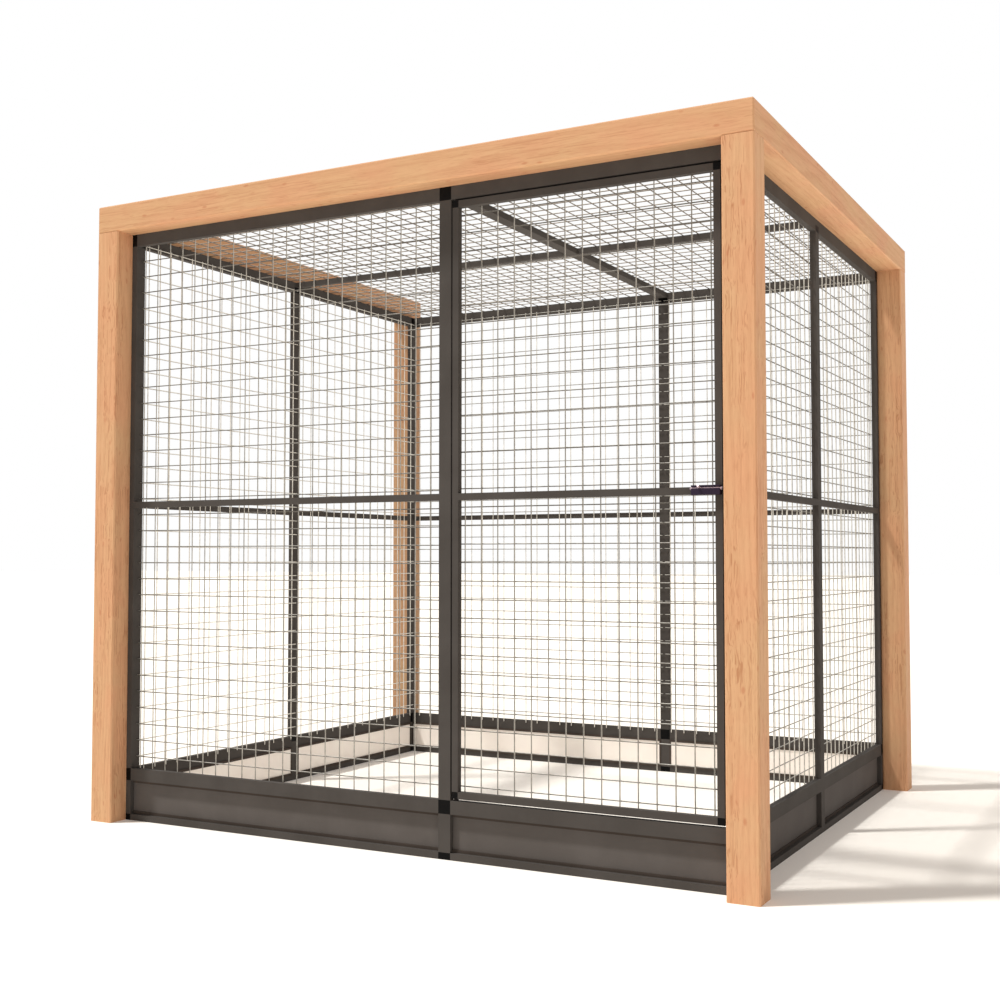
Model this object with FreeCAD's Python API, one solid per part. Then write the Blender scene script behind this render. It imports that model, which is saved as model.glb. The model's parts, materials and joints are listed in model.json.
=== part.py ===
import FreeCAD, Part
import math

# Cat run: a timber post-and-beam frame round a cage of aluminium tube and welded mesh.
# Millimetres, +Z up, front towards -Y, origin at the middle of the footprint on the ground.

# Timber frame
OVERALL_W = 2288.0
OVERALL_D = 1930.0
OVERALL_H = 2060.0
POST_W = 90.0
BEAM_H = 90.0
ARRIS = 4.0

# Aluminium tube
TUBE_W = 40.0
TUBE_T = 20.0
TUBE_WALL = 1.5

# Levels and bays
KICK_Z = 131.0
MID_Z = 1041.0
MULLION_X = 182.0

# Plastic connectors
SPIGOT = 25.0
SPIGOT_FIT = 0.15

# Kick panels and the channels that hold them
PANEL_T = 4.0
PANEL_FIT = 0.5
CHANNEL_W = 9.0
CHANNEL_LIP = 3.0
CHANNEL_SET = 13.0

# Welded mesh
WIRE = 4.0
PITCH = 54.0
MESH_LAP = 15.0
MESH_LAP_LOW = 10.0
MESH_LAP_HIGH = 12.0
MESH_END_FIT = 0.3
DOOR_MESH_LAP = 13.0

# Places of the first wires, from the edge of the tube they start at
FIRST_Z = 37.3
FRONT_FIRST = 21.0
BACK_FIRST_LEFT = 37.5
BACK_FIRST_RIGHT = 8.0
SIDE_FIRST = 17.5
ROOF_FIRST_LEFT = 36.0
ROOF_FIRST_RIGHT = 14.5
ROOF_ROW_LEFT = 41.0
ROOF_ROW_RIGHT = 45.0
DOOR_FIRST_X = 11.6
DOOR_FIRST_Z = 14.3

# Door and its pivots
DOOR_SIDE_GAP = 5.0
DOOR_TOP_GAP = 6.0
DOOR_LOW_GAP = 6.0
PIVOT_D = 8.0
PIVOT_FIT = 0.05
PIVOT_SEAT = 12.0
PIVOT_REACH = 8.0
COLLAR_D = 14.0
COLLAR_FIT = 0.3

# Slide bolt
BOLT_D = 8.0
BOLT_FIT = 0.1
BOLT_SET = 8.0
BOLT_NOSE = 4.5
BOLT_TAIL = 5.0
LATCH_L = 81.0
LATCH_H = 26.0
LATCH_DEPTH = 14.0
LATCH_EDGE = 1.2
LATCH_LIP = 9.0
LATCH_INSET = 2.0
SLOT_H = 5.0
SLOT_TILT = 30.0
STEM_D = 4.4
STEM_L = 10.0
STEM_SET = 22.0
KNOB_D = 7.0
KNOB_L = 4.0
KNOB_TIP = 1.2
KEEPER_FIT = 0.8
KEEPER_WALL = 3.0
KEEPER_PLATE = 2.0

# Sizes worked out from those above
CAGE_TOP = OVERALL_H - BEAM_H
CAGE_X = OVERALL_W / 2 - POST_W
CAGE_Y = OVERALL_D / 2 - POST_W + TUBE_T
INNER_X = CAGE_X - TUBE_T
INNER_Y = CAGE_Y - TUBE_T
BAY_Y = CAGE_Y - TUBE_W
TOP_RAIL = (CAGE_TOP - TUBE_W, CAGE_TOP)
KICK_RAIL = (KICK_Z, KICK_Z + TUBE_W)
MID_RAIL = (MID_Z, MID_Z + TUBE_T)
LOW_RAIL = (0.0, TUBE_T)
ROOF_BAR = (CAGE_TOP - TUBE_T, CAGE_TOP)
MESH_Z = (KICK_RAIL[1] - MESH_LAP_LOW, TOP_RAIL[0] + MESH_LAP_HIGH)
DEPTH = (0.0, TUBE_T)
MULLION_U = (MULLION_X - TUBE_W / 2, MULLION_X + TUBE_W / 2)
SIDE_MULLION_U = (-TUBE_W / 2, TUBE_W / 2)
PANEL_W = (CHANNEL_SET + CHANNEL_LIP, CHANNEL_SET + CHANNEL_LIP + PANEL_T)
CHANNEL_DEPTH = (CHANNEL_SET, PANEL_W[1] + CHANNEL_LIP)

DOOR_U = (MULLION_U[1] + DOOR_SIDE_GAP, INNER_X - DOOR_SIDE_GAP)
DOOR_Z = (KICK_RAIL[1] + DOOR_LOW_GAP, TOP_RAIL[0] - DOOR_TOP_GAP)
PIVOT_X = DOOR_U[0] + TUBE_T / 2
PIVOT_Y = -CAGE_Y + TUBE_T / 2
LATCH_U = (DOOR_U[1] - LATCH_INSET - LATCH_L, DOOR_U[1] - LATCH_INSET)
LATCH_Z = (MID_Z - (LATCH_H - TUBE_T) / 3, MID_Z - (LATCH_H - TUBE_T) / 3 + LATCH_H)
BOLT_Z = LATCH_Z[1] - LATCH_LIP


def box(x, y, z):
    """Block between the low and high values of three spans."""
    corner = FreeCAD.Vector(x[0], y[0], z[0])
    return Part.makeBox(x[1] - x[0], y[1] - y[0], z[1] - z[0], corner)


def shrunk(span, margin):
    """Span with the same margin taken off both ends."""
    return (span[0] + margin, span[1] - margin)


def steps(first, last, pitch):
    """Evenly pitched places from first, none past last."""
    count = int(math.floor((last - first) / pitch + 1e-6)) + 1
    return [first + k * pitch for k in range(count)]


def rod(radius, start, end):
    """Cylinder from one point to another."""
    axis = end.sub(start)
    return Part.makeCylinder(radius, axis.Length, start, axis)


def fused(solids):
    """One solid out of several that overlap."""
    return solids[0].fuse(solids[1:]).removeSplitter()


class Wall:
    """One side of the cage: u runs along it and w runs inwards from its outer face."""

    def __init__(self, along, outer, inward, bays, mullion):
        self.along = along
        self.outer = outer
        self.inward = inward
        self.bays = bays
        self.mullion = mullion

    def block(self, u, w, z):
        """Block given by its spans along, into and up the wall."""
        depth = sorted(self.outer + self.inward * k for k in w)
        if self.along == "x":
            return box(u, depth, z)
        return box(depth, u, z)

    def tube(self, run, u, w, z):
        """Hollow tube that runs along the wall (u) or up it (z)."""
        hollow_w = shrunk(w, TUBE_WALL)
        if run == "u":
            hollow = self.block(u, hollow_w, shrunk(z, TUBE_WALL))
        else:
            hollow = self.block(shrunk(u, TUBE_WALL), hollow_w, z)
        return self.block(u, w, z).cut(hollow)

    def spigot_u(self, face, sign, w, z):
        """Spigot that reaches from a connector's face along the wall."""
        margin = TUBE_WALL + SPIGOT_FIT
        u = sorted((face, face + sign * SPIGOT))
        return self.block(u, shrunk(w, margin), shrunk(z, margin))

    def spigot_z(self, face, sign, u, w):
        """Spigot that reaches from a connector's face up or down the wall."""
        margin = TUBE_WALL + SPIGOT_FIT
        z = sorted((face, face + sign * SPIGOT))
        return self.block(shrunk(u, margin), shrunk(w, margin), z)

    def mesh(self, u, z, first_u, first_z):
        """Welded panel on the tubes' inner faces: uprights against them, cross wires inside."""
        half = WIRE / 2
        wires = []
        for at in steps(first_u, u[1] - half, PITCH):
            wires.append(self.block((at - half, at + half), (TUBE_T, TUBE_T + WIRE), z))
        for at in steps(first_z, z[1] - half, PITCH):
            inner = (TUBE_T + WIRE, TUBE_T + 2 * WIRE)
            wires.append(self.block(u, inner, (at - half, at + half)))
        return wires

    def channel(self, bay):
        """Two lengths of U-channel, on the bottom rail and under the kick rail."""
        z = (LOW_RAIL[1], KICK_RAIL[0])
        web = CHANNEL_LIP
        lengths = [
            ((z[0], z[0] + CHANNEL_W), (z[0] + web, z[0] + CHANNEL_W)),
            ((z[1] - CHANNEL_W, z[1]), (z[1] - CHANNEL_W, z[1] - web)),
        ]
        strips = []
        for up, groove_z in lengths:
            groove = self.block(bay, PANEL_W, groove_z)
            strips.append(self.block(bay, CHANNEL_DEPTH, up).cut(groove))
        return strips

    def panel(self, bay):
        """Kick panel that stands in its channels, from tube to tube."""
        z = shrunk((LOW_RAIL[1], KICK_RAIL[0]), CHANNEL_LIP + PANEL_FIT)
        return self.block(shrunk(bay, PANEL_FIT), PANEL_W, z)


FRONT_BAYS = [(-INNER_X, MULLION_U[0]), (MULLION_U[1], INNER_X)]
SIDE_BAYS = [(-BAY_Y, SIDE_MULLION_U[0]), (SIDE_MULLION_U[1], BAY_Y)]
WALLS = {
    "front": Wall("x", -CAGE_Y, 1, FRONT_BAYS, MULLION_U),
    "back": Wall("x", CAGE_Y, -1, FRONT_BAYS, MULLION_U),
    "left": Wall("y", -CAGE_X, 1, SIDE_BAYS, SIDE_MULLION_U),
    "right": Wall("y", CAGE_X, -1, SIDE_BAYS, SIDE_MULLION_U),
}
FRONT = WALLS["front"]


def make_posts():
    """Four square posts with their upright arrises taken off."""
    nodes = {}
    for end, sy in (("front", -1), ("back", 1)):
        for hand, sx in (("left", -1), ("right", 1)):
            x = sorted((sx * OVERALL_W / 2, sx * (OVERALL_W / 2 - POST_W)))
            y = sorted((sy * OVERALL_D / 2, sy * (OVERALL_D / 2 - POST_W)))
            post = box(x, y, (0.0, CAGE_TOP))
            upright = [e for e in post.Edges if abs(e.tangentAt(e.FirstParameter).z) > 0.9]
            nodes["post_%s_%s" % (end, hand)] = post.makeChamfer(ARRIS, upright)
    return nodes


def beam(length, mitre_low, mitre_high):
    """Beam along X, outer face on y = 0 and top at the overall height, mitred or square at its ends."""
    half = length / 2
    section = box((-half, half), (0.0, POST_W), (CAGE_TOP, OVERALL_H))
    eased = []
    for edge in section.Edges:
        middle = edge.CenterOfMass
        inner_low = middle.y > POST_W / 2 and middle.z < CAGE_TOP + BEAM_H / 2
        if abs(edge.tangentAt(edge.FirstParameter).x) > 0.9 and not inner_low:
            eased.append(edge)
    section = section.makeChamfer(ARRIS, eased)
    mitre = [(half - ARRIS, 0.0), (half - ARRIS / 2, ARRIS / 2), (half - POST_W, POST_W)]
    square = [(half, 0.0), (half, POST_W)]
    high = mitre if mitre_high else square
    low = [(-x, y) for x, y in reversed(mitre if mitre_low else square)]
    points = [FreeCAD.Vector(x, y, CAGE_TOP) for x, y in high + low]
    outline = Part.Face(Part.makePolygon(points + points[:1]))
    return section.common(outline.extrude(FreeCAD.Vector(0, 0, BEAM_H)))


def make_beams():
    """Front beam and two side beams on the posts, mitred at the front and square at the back."""
    up = FreeCAD.Vector(0, 0, 1)
    places = {"front": (OVERALL_W, OVERALL_D, 0, True, True),
              "right": (OVERALL_D, OVERALL_W, 90, True, False),
              "left": (OVERALL_D, OVERALL_W, 270, False, True)}
    nodes = {}
    for name, (length, span, turn, mitre_low, mitre_high) in places.items():
        shape = beam(length, mitre_low, mitre_high)
        shape.translate(FreeCAD.Vector(0, -span / 2, 0))
        nodes["beam_" + name] = shape.rotate(FreeCAD.Vector(0, 0, 0), up, turn)
    return nodes


def corner_spans(hand):
    """Footprint of a corner stile: its x span on the cage and its depth in the end wall."""
    x = (-CAGE_X, -INNER_X) if hand == "left" else (INNER_X, CAGE_X)
    return x, (0.0, TUBE_W)


def make_uprights():
    """Corner stiles and mullions, each a long tube above a short one."""
    spans = [(LOW_RAIL[1], KICK_RAIL[0]), (KICK_RAIL[1], TOP_RAIL[0])]
    nodes = {}
    for end in ("front", "back"):
        for hand in ("left", "right"):
            u, w = corner_spans(hand)
            tubes = [WALLS[end].tube("z", u, w, z) for z in spans]
            nodes["stile_%s_%s" % (end, hand)] = tubes
    for name, wall in WALLS.items():
        nodes["mullion_" + name] = [wall.tube("z", wall.mullion, DEPTH, z) for z in spans]
    return nodes


def side_notches(wall):
    """Cut-outs in a side wall's rails for the connectors on its mullion."""
    high = wall.block(wall.mullion, DEPTH, (TOP_RAIL[0], TOP_RAIL[0] + TUBE_T))
    inside = (TUBE_WALL, TUBE_T)
    low = wall.block(wall.mullion, inside, (KICK_RAIL[1] - TUBE_T, KICK_RAIL[1]))
    return high, low


def make_rails():
    """Top, kick, bottom and mid rails of the four walls."""
    nodes = {}
    for name, wall in WALLS.items():
        split = wall.along == "x"
        spans = wall.bays if split else [(wall.bays[0][0], wall.bays[1][1])]
        nodes["top_rail_" + name] = [wall.tube("u", u, DEPTH, TOP_RAIL) for u in spans]
        nodes["kick_rail_" + name] = [wall.tube("u", u, DEPTH, KICK_RAIL) for u in spans]
        nodes["bottom_rail_" + name] = [wall.tube("u", u, DEPTH, LOW_RAIL) for u in spans]
        mid_bays = wall.bays[:1] if name == "front" else wall.bays
        nodes["mid_rail_" + name] = [wall.tube("u", u, DEPTH, MID_RAIL) for u in mid_bays]
        if not split:
            high, low = side_notches(wall)
            nodes["top_rail_" + name] = [nodes["top_rail_" + name][0].cut(high)]
            nodes["kick_rail_" + name] = [nodes["kick_rail_" + name][0].cut(low)]
    for key, bore in zip(("top_rail_front", "kick_rail_front"), pivot_bores()):
        nodes[key] = [tube.cut(bore) for tube in nodes[key]]
    return nodes


def make_roof_bars():
    """Bar from front to back under the roof, and two lengths across it."""
    long_bar = box(MULLION_U, (-INNER_Y, INNER_Y), ROOF_BAR)
    hollow = box(shrunk(MULLION_U, TUBE_WALL), (-INNER_Y, INNER_Y), shrunk(ROOF_BAR, TUBE_WALL))
    cross_y = (-TUBE_T / 2, TUBE_T / 2)
    cross = []
    for x in FRONT_BAYS:
        inside = box(x, shrunk(cross_y, TUBE_WALL), shrunk(ROOF_BAR, TUBE_WALL))
        cross.append(box(x, cross_y, ROOF_BAR).cut(inside))
    return {"roof_bar_long": [long_bar.cut(hollow)], "roof_bar_cross": cross}


def corner_connector(end, hand, z, up, down):
    """Corner block with spigots for the rails of two walls and for the stile."""
    wall = WALLS[end]
    side = WALLS[hand]
    u, w = corner_spans(hand)
    sign = 1 if hand == "left" else -1
    away = wall.inward
    face = u[1] if hand == "left" else u[0]
    side_face = wall.outer + away * TUBE_W
    solids = [wall.block(u, w, z)]
    solids.append(wall.spigot_u(face, sign, DEPTH, z))
    solids.append(side.spigot_u(side_face, away, DEPTH, z))
    if up:
        solids.append(wall.spigot_z(z[1], 1, u, w))
    if down:
        solids.append(wall.spigot_z(z[0], -1, u, w))
    return fused(solids)


def centre_connector(end, z, up, down, roof):
    """Block where a mullion meets a rail of the front or back wall."""
    wall = WALLS[end]
    u = wall.mullion
    solids = [wall.block(u, DEPTH, z)]
    solids.append(wall.spigot_u(u[0], -1, DEPTH, z))
    solids.append(wall.spigot_u(u[1], 1, DEPTH, z))
    if up:
        solids.append(wall.spigot_z(z[1], 1, u, DEPTH))
    if down:
        solids.append(wall.spigot_z(z[0], -1, u, DEPTH))
    if roof:
        margin = TUBE_WALL + SPIGOT_FIT
        depth = (TUBE_T, TUBE_T + SPIGOT)
        solids.append(wall.block(shrunk(u, margin), depth, shrunk(ROOF_BAR, margin)))
    return fused(solids)


def wall_connectors(end):
    """Connectors of the front or back wall, by level."""
    levels = {"top": (TOP_RAIL, False, True), "kick": (KICK_RAIL, True, True),
              "low": (LOW_RAIL, True, False)}
    made = {}
    for level, (z, up, down) in levels.items():
        blocks = [corner_connector(end, hand, z, up, down) for hand in ("left", "right")]
        blocks.append(centre_connector(end, z, up, down, level == "top"))
        made[level] = blocks
    return made


def side_connectors():
    """Blocks let into the side walls' rails, each with a spigot for the mullion."""
    blocks = []
    for name in ("left", "right"):
        wall = WALLS[name]
        high, low = side_notches(wall)
        blocks.append(fused([high, wall.spigot_z(TOP_RAIL[0], -1, wall.mullion, DEPTH)]))
        blocks.append(fused([low, wall.spigot_z(KICK_RAIL[1], 1, wall.mullion, DEPTH)]))
    return blocks


def make_connectors():
    """All the cage's plastic connectors."""
    front = wall_connectors("front")
    back = wall_connectors("back")
    high_bore, low_bore = pivot_bores()
    return {
        "connectors_front_top": [block.cut(high_bore) for block in front["top"]],
        "connectors_front_low": [block.cut(low_bore) for block in front["kick"]] + front["low"],
        "connectors_back": back["top"] + back["kick"] + back["low"],
        "connectors_sides": side_connectors(),
    }


def make_kick_panels():
    """Kick panels wall by wall, and the channels round them."""
    nodes = {}
    channels = []
    for name, wall in WALLS.items():
        nodes["kick_panels_" + name] = [wall.panel(bay) for bay in wall.bays]
        for bay in wall.bays:
            channels.extend(wall.channel(bay))
    nodes["panel_channels"] = channels
    return nodes


def bay_mesh(wall, bay, first, corner_first):
    """Mesh of one fixed bay, lapped on its mullion and butted or lapped at its corner."""
    if wall.along == "x":
        reach = -MESH_END_FIT
    else:
        reach = TUBE_W - TUBE_T - 2 * WIRE - MESH_END_FIT
    if corner_first:
        u = (bay[0] - reach, bay[1] + MESH_LAP)
    else:
        u = (bay[0] - MESH_LAP, bay[1] + reach)
    return wall.mesh(u, MESH_Z, bay[0] + first, KICK_RAIL[1] + FIRST_Z)


def make_roof_mesh():
    """Two panels on top of the roof bars: front-to-back wires on them, cross wires above."""
    half = WIRE / 2
    low = (CAGE_TOP, CAGE_TOP + WIRE)
    high = (CAGE_TOP + WIRE, CAGE_TOP + 2 * WIRE)
    y = (-INNER_Y + MESH_END_FIT, CAGE_Y - MESH_END_FIT)
    edge_x = CAGE_X - MESH_END_FIT
    panels = [((-edge_x, MULLION_X - MESH_END_FIT), -INNER_X + ROOF_FIRST_LEFT, ROOF_ROW_LEFT),
              ((MULLION_X + MESH_END_FIT, edge_x), MULLION_U[1] + ROOF_FIRST_RIGHT, ROOF_ROW_RIGHT)]
    wires = []
    for x, first, row in panels:
        for at in steps(first, x[1] - half, PITCH):
            wires.append(box((at - half, at + half), y, low))
        for at in steps(-INNER_Y + row, y[1] - half, PITCH):
            wires.append(box(x, (at - half, at + half), high))
    return wires


def make_meshes():
    """Welded mesh of the fixed bays and of the roof."""
    firsts = {"front": (FRONT_FIRST,), "back": (BACK_FIRST_LEFT, BACK_FIRST_RIGHT),
              "left": (SIDE_FIRST, SIDE_FIRST), "right": (SIDE_FIRST, SIDE_FIRST)}
    nodes = {}
    for name, wall in WALLS.items():
        wires = []
        for index, (bay, first) in enumerate(zip(wall.bays, firsts[name])):
            wires.extend(bay_mesh(wall, bay, first, index == 0))
        nodes["mesh_" + name] = wires
    nodes["mesh_roof"] = make_roof_mesh()
    return nodes


def pivot_bores():
    """Bores for the door's pins, up into the top rail and down into the kick rail."""
    radius = PIVOT_D / 2 + PIVOT_FIT
    reach = PIVOT_REACH + COLLAR_FIT
    top = FreeCAD.Vector(PIVOT_X, PIVOT_Y, TOP_RAIL[0])
    low = FreeCAD.Vector(PIVOT_X, PIVOT_Y, KICK_RAIL[1])
    up = FreeCAD.Vector(0, 0, reach)
    return rod(radius, top, top.add(up)), rod(radius, low, low.sub(up))


def pivot(face, sign, gap):
    """Shouldered pin seated in a door corner, reaching across the gap into the rail."""
    def at(z):
        return FreeCAD.Vector(PIVOT_X, PIVOT_Y, z)
    pin = rod(PIVOT_D / 2, at(face - sign * PIVOT_SEAT), at(face + sign * (gap + PIVOT_REACH)))
    collar = rod(COLLAR_D / 2, at(face), at(face + sign * (gap - COLLAR_FIT)))
    return fused([pin, collar])


def door_corner(u_face, u_sign, z_face, z_sign, bored):
    """Cube on a corner of the door, with spigots for its rail and stile."""
    u = sorted((u_face, u_face + u_sign * TUBE_T))
    z = sorted((z_face, z_face + z_sign * TUBE_T))
    solids = [FRONT.block(u, DEPTH, z)]
    solids.append(FRONT.spigot_u(u_face + u_sign * TUBE_T, u_sign, DEPTH, z))
    solids.append(FRONT.spigot_z(z_face + z_sign * TUBE_T, z_sign, u, DEPTH))
    shape = fused(solids)
    if bored:
        start = FreeCAD.Vector(PIVOT_X, PIVOT_Y, z_face)
        seat = FreeCAD.Vector(0, 0, z_sign * PIVOT_SEAT)
        shape = shape.cut(rod(PIVOT_D / 2 + PIVOT_FIT, start, start.add(seat)))
    return shape


def make_door():
    """Door frame of square tube with cube corners, its mesh and its pivots."""
    left = (DOOR_U[0], DOOR_U[0] + TUBE_T)
    right = (DOOR_U[1] - TUBE_T, DOOR_U[1])
    low = (DOOR_Z[0], DOOR_Z[0] + TUBE_T)
    high = (DOOR_Z[1] - TUBE_T, DOOR_Z[1])
    between_u = (left[1], right[0])
    between_z = (low[1], high[0])
    corners = []
    for u_face, u_sign in ((DOOR_U[0], 1), (DOOR_U[1], -1)):
        for z_face, z_sign in ((DOOR_Z[0], 1), (DOOR_Z[1], -1)):
            corners.append(door_corner(u_face, u_sign, z_face, z_sign, u_sign > 0))
    mesh_u = (left[1] - DOOR_MESH_LAP, right[0] + DOOR_MESH_LAP)
    mesh_z = (low[1] - DOOR_MESH_LAP, high[0] + DOOR_MESH_LAP)
    first_u = left[1] + DOOR_FIRST_X
    first_z = low[1] + DOOR_FIRST_Z
    return {
        "door_hinge_stile": [FRONT.tube("z", left, DEPTH, between_z)],
        "door_latch_stile": [FRONT.tube("z", right, DEPTH, between_z)],
        "door_top_rail": [FRONT.tube("u", between_u, DEPTH, high)],
        "door_mid_rail": [FRONT.tube("u", between_u, DEPTH, MID_RAIL)],
        "door_bottom_rail": [FRONT.tube("u", between_u, DEPTH, low)],
        "door_corners": corners,
        "door_mesh": FRONT.mesh(mesh_u, mesh_z, first_u, first_z),
        "door_pivots": [pivot(DOOR_Z[1], 1, DOOR_TOP_GAP), pivot(DOOR_Z[0], -1, DOOR_LOW_GAP)],
    }


def bolt_point(u, out=0.0, up=0.0):
    """Point by the bolt's axis, moved outwards and upwards."""
    return FreeCAD.Vector(u, -CAGE_Y - BOLT_SET - out, BOLT_Z + up)


def make_latch():
    """Slide bolt on the door: slotted body, bolt with its knob in the slot, and the keeper."""
    body = FRONT.block(LATCH_U, (-LATCH_DEPTH, 0.0), LATCH_Z)
    face = -CAGE_Y - LATCH_DEPTH
    rim = [e for e in body.Edges if all(abs(v.Point.y - face) < 1e-6 for v in e.Vertexes)]
    body = body.makeChamfer(LATCH_EDGE, rim)
    past = (LATCH_U[0] - 1, LATCH_U[1] + 1)
    bore = rod(BOLT_D / 2 + BOLT_FIT, bolt_point(past[0]), bolt_point(past[1]))
    slot_z = (BOLT_Z - SLOT_H / 2, BOLT_Z + SLOT_H / 2)
    slot = FRONT.block(past, (-BOLT_SET - 2 * LATCH_DEPTH, -BOLT_SET), slot_z)
    slot.rotate(bolt_point(past[0]), FreeCAD.Vector(1, 0, 0), -SLOT_TILT)
    body = body.cut(bore).cut(slot)

    tilt = math.radians(SLOT_TILT)
    knob_u = LATCH_U[0] + STEM_SET

    def along(reach):
        return bolt_point(knob_u, reach * math.cos(tilt), reach * math.sin(tilt))
    shank = rod(BOLT_D / 2, bolt_point(LATCH_U[0] - BOLT_TAIL), bolt_point(DOOR_U[1] + BOLT_NOSE))
    stem = rod(STEM_D / 2, along(0.0), along(STEM_L + KNOB_TIP))
    knob = rod(KNOB_D / 2, along(STEM_L), along(STEM_L + KNOB_L))
    start = along(STEM_L + KNOB_L)
    way = along(STEM_L + KNOB_L + KNOB_TIP).sub(start)
    crown = Part.makeCone(KNOB_D / 2, KNOB_D / 2 - KNOB_TIP, KNOB_TIP, start, way)
    bolt = fused([shank, stem, knob, crown])

    keeper_u = shrunk((INNER_X, CAGE_X), KEEPER_PLATE)
    half_eye = BOLT_D / 2 + KEEPER_FIT
    eye_z = (BOLT_Z - half_eye, BOLT_Z + half_eye)
    strap_z = shrunk(eye_z, -KEEPER_WALL)
    strap = FRONT.block(keeper_u, (-BOLT_SET - half_eye - KEEPER_WALL, 0.0), strap_z)
    foot = FRONT.block(keeper_u, (-KEEPER_PLATE, 0.0), shrunk(strap_z, -2 * KEEPER_WALL))
    eye = FRONT.block(keeper_u, (-BOLT_SET - half_eye, -KEEPER_PLATE), eye_z)
    keeper = fused([foot, strap]).cut(eye)
    return {"latch_body": [body], "latch_bolt": [bolt], "latch_keeper": [keeper]}


def main():
    """Make every node and export it."""
    nodes = {}
    for make in (make_posts, make_beams, make_uprights, make_rails, make_roof_bars,
                 make_connectors, make_kick_panels, make_meshes, make_door, make_latch):
        nodes.update(make())
    for name, made in nodes.items():
        solids = made if isinstance(made, list) else [made]
        shape = solids[0] if len(solids) == 1 else Part.makeCompound(solids)
        shape.exportStep("parts/%s.step" % name)
    print(len(nodes), "nodes")


main()
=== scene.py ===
"""Looks of a walk-in cat run: timber frame, tube cage, welded mesh, kick panels and a pivoted door."""

import json
import logging
import math
from dataclasses import dataclass, field, replace
from enum import Enum
from typing import Any, Dict, List, Optional, Sequence, Tuple, Union

import bpy
import numpy as np
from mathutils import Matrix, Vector


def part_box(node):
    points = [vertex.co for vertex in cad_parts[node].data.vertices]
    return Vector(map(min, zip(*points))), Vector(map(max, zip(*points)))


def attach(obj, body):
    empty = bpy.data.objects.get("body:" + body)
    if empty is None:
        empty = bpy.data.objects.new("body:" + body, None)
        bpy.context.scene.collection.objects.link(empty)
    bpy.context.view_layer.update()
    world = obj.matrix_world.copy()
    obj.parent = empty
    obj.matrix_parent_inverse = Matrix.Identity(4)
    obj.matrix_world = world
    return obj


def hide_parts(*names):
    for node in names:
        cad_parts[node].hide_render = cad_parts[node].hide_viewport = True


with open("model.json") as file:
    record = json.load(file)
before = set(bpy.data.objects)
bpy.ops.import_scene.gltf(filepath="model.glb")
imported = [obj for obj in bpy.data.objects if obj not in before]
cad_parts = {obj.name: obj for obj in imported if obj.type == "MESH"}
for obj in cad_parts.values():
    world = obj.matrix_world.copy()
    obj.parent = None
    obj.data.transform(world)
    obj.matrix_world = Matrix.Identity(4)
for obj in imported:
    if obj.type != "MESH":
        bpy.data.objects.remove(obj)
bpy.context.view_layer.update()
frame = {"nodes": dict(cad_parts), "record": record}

logging.basicConfig(level=logging.INFO, format="%(name)s: %(message)s")
LOG = logging.getLogger("cat_run")

Colour = Tuple[float, float, float]
Direction = Tuple[float, float, float]
Span = Tuple[float, float]

WHITE: Colour = (1.0, 1.0, 1.0)

# A plain block's mesh is twelve loose triangles of three corners each
BLOCK_CORNERS = 36

# The standard curve between displayed and linear colour
TOP_LEVEL = 255.0
CURVE_KNEE = 0.04045
CURVE_SLOPE = 12.92
CURVE_OFFSET = 0.055
CURVE_POWER = 2.4

# Numbers of the colour sockets on a Mix node
MIX_FIRST = 6
MIX_SECOND = 7
MIX_RESULT = 2

# Strength of each finer octave of noise, and the value that noise swings about
OCTAVE_SHARE = 0.55
NOISE_MEAN = 0.5


def srgb(red: int, green: int, blue: int) -> Colour:
    """Turns a display colour of 0 to 255 into the linear colour that shaders use.

    Args:
        red: Red as displayed.
        green: Green as displayed.
        blue: Blue as displayed.

    Returns:
        The linear red, green and blue.
    """
    shown = np.array([red, green, blue]) / TOP_LEVEL
    curved = ((shown + CURVE_OFFSET) / (1.0 + CURVE_OFFSET)) ** CURVE_POWER
    linear = np.where(shown <= CURVE_KNEE, shown / CURVE_SLOPE, curved)
    return tuple(float(k) for k in linear)


class Axis(Enum):
    """Direction that a length of timber runs in."""

    X = 0
    Y = 1
    Z = 2


class Side(Enum):
    """Which way is outwards from a wall: the axis it faces along and its sign."""

    FRONT = (1, -1.0)
    BACK = (1, 1.0)
    LEFT = (0, -1.0)
    RIGHT = (0, 1.0)


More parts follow.
